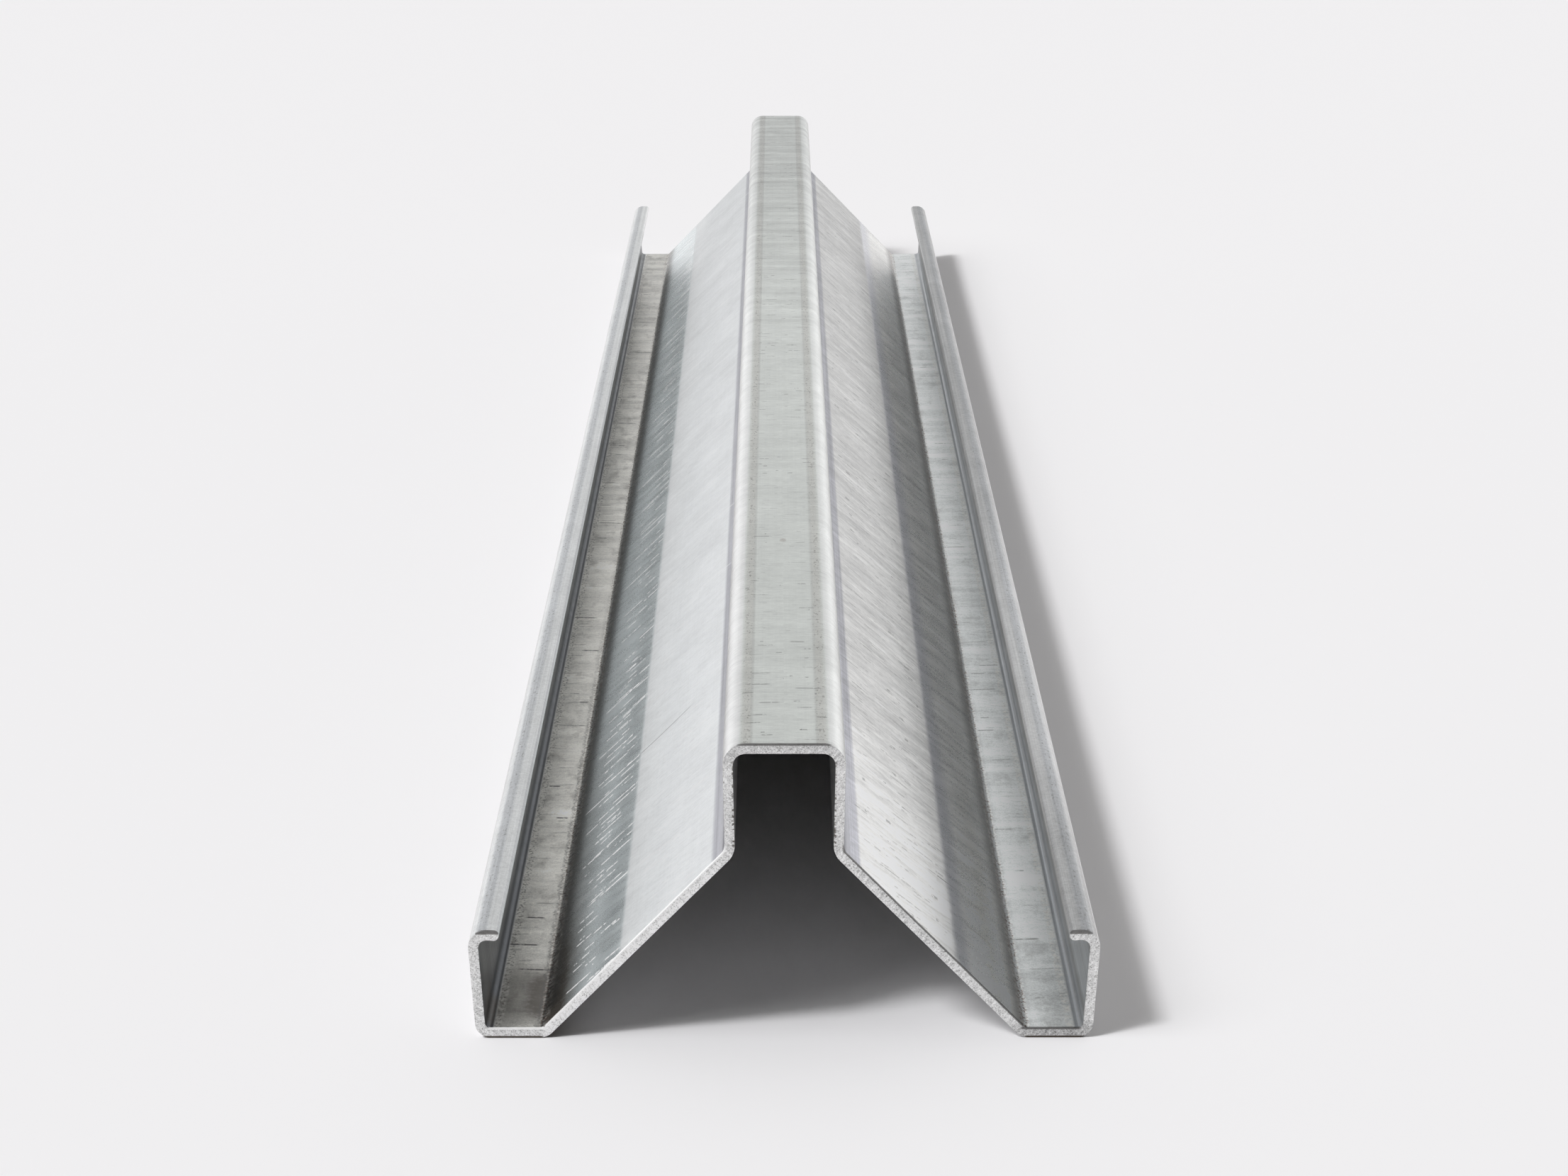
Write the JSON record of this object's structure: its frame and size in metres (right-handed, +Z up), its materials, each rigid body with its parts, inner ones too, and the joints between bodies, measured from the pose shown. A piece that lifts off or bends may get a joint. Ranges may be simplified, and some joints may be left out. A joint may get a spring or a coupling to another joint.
{
  "type": "ceiling profile",
  "caption": "Rolled galvanised steel ceiling profile: flat-topped ridge with a slot beneath, sloping flanks, flat feet and turned-in lips on both sides.",
  "frame": {"origin": "centre of the footprint, on the floor plane under the two flat feet, halfway along the length", "axes": "+X across the section, +Y along the length, +Z up from the feet to the ridge top"},
  "size_m": [0.06, 0.4, 0.0296],
  "materials": {
    "galvanised_steel": "mill-finish galvanised steel, satin, with fine scratches and sawn ends"
  },
  "bodies": {
    "root": {"ceiling_profile": "galvanised_steel"}
  },
  "joints": []
}
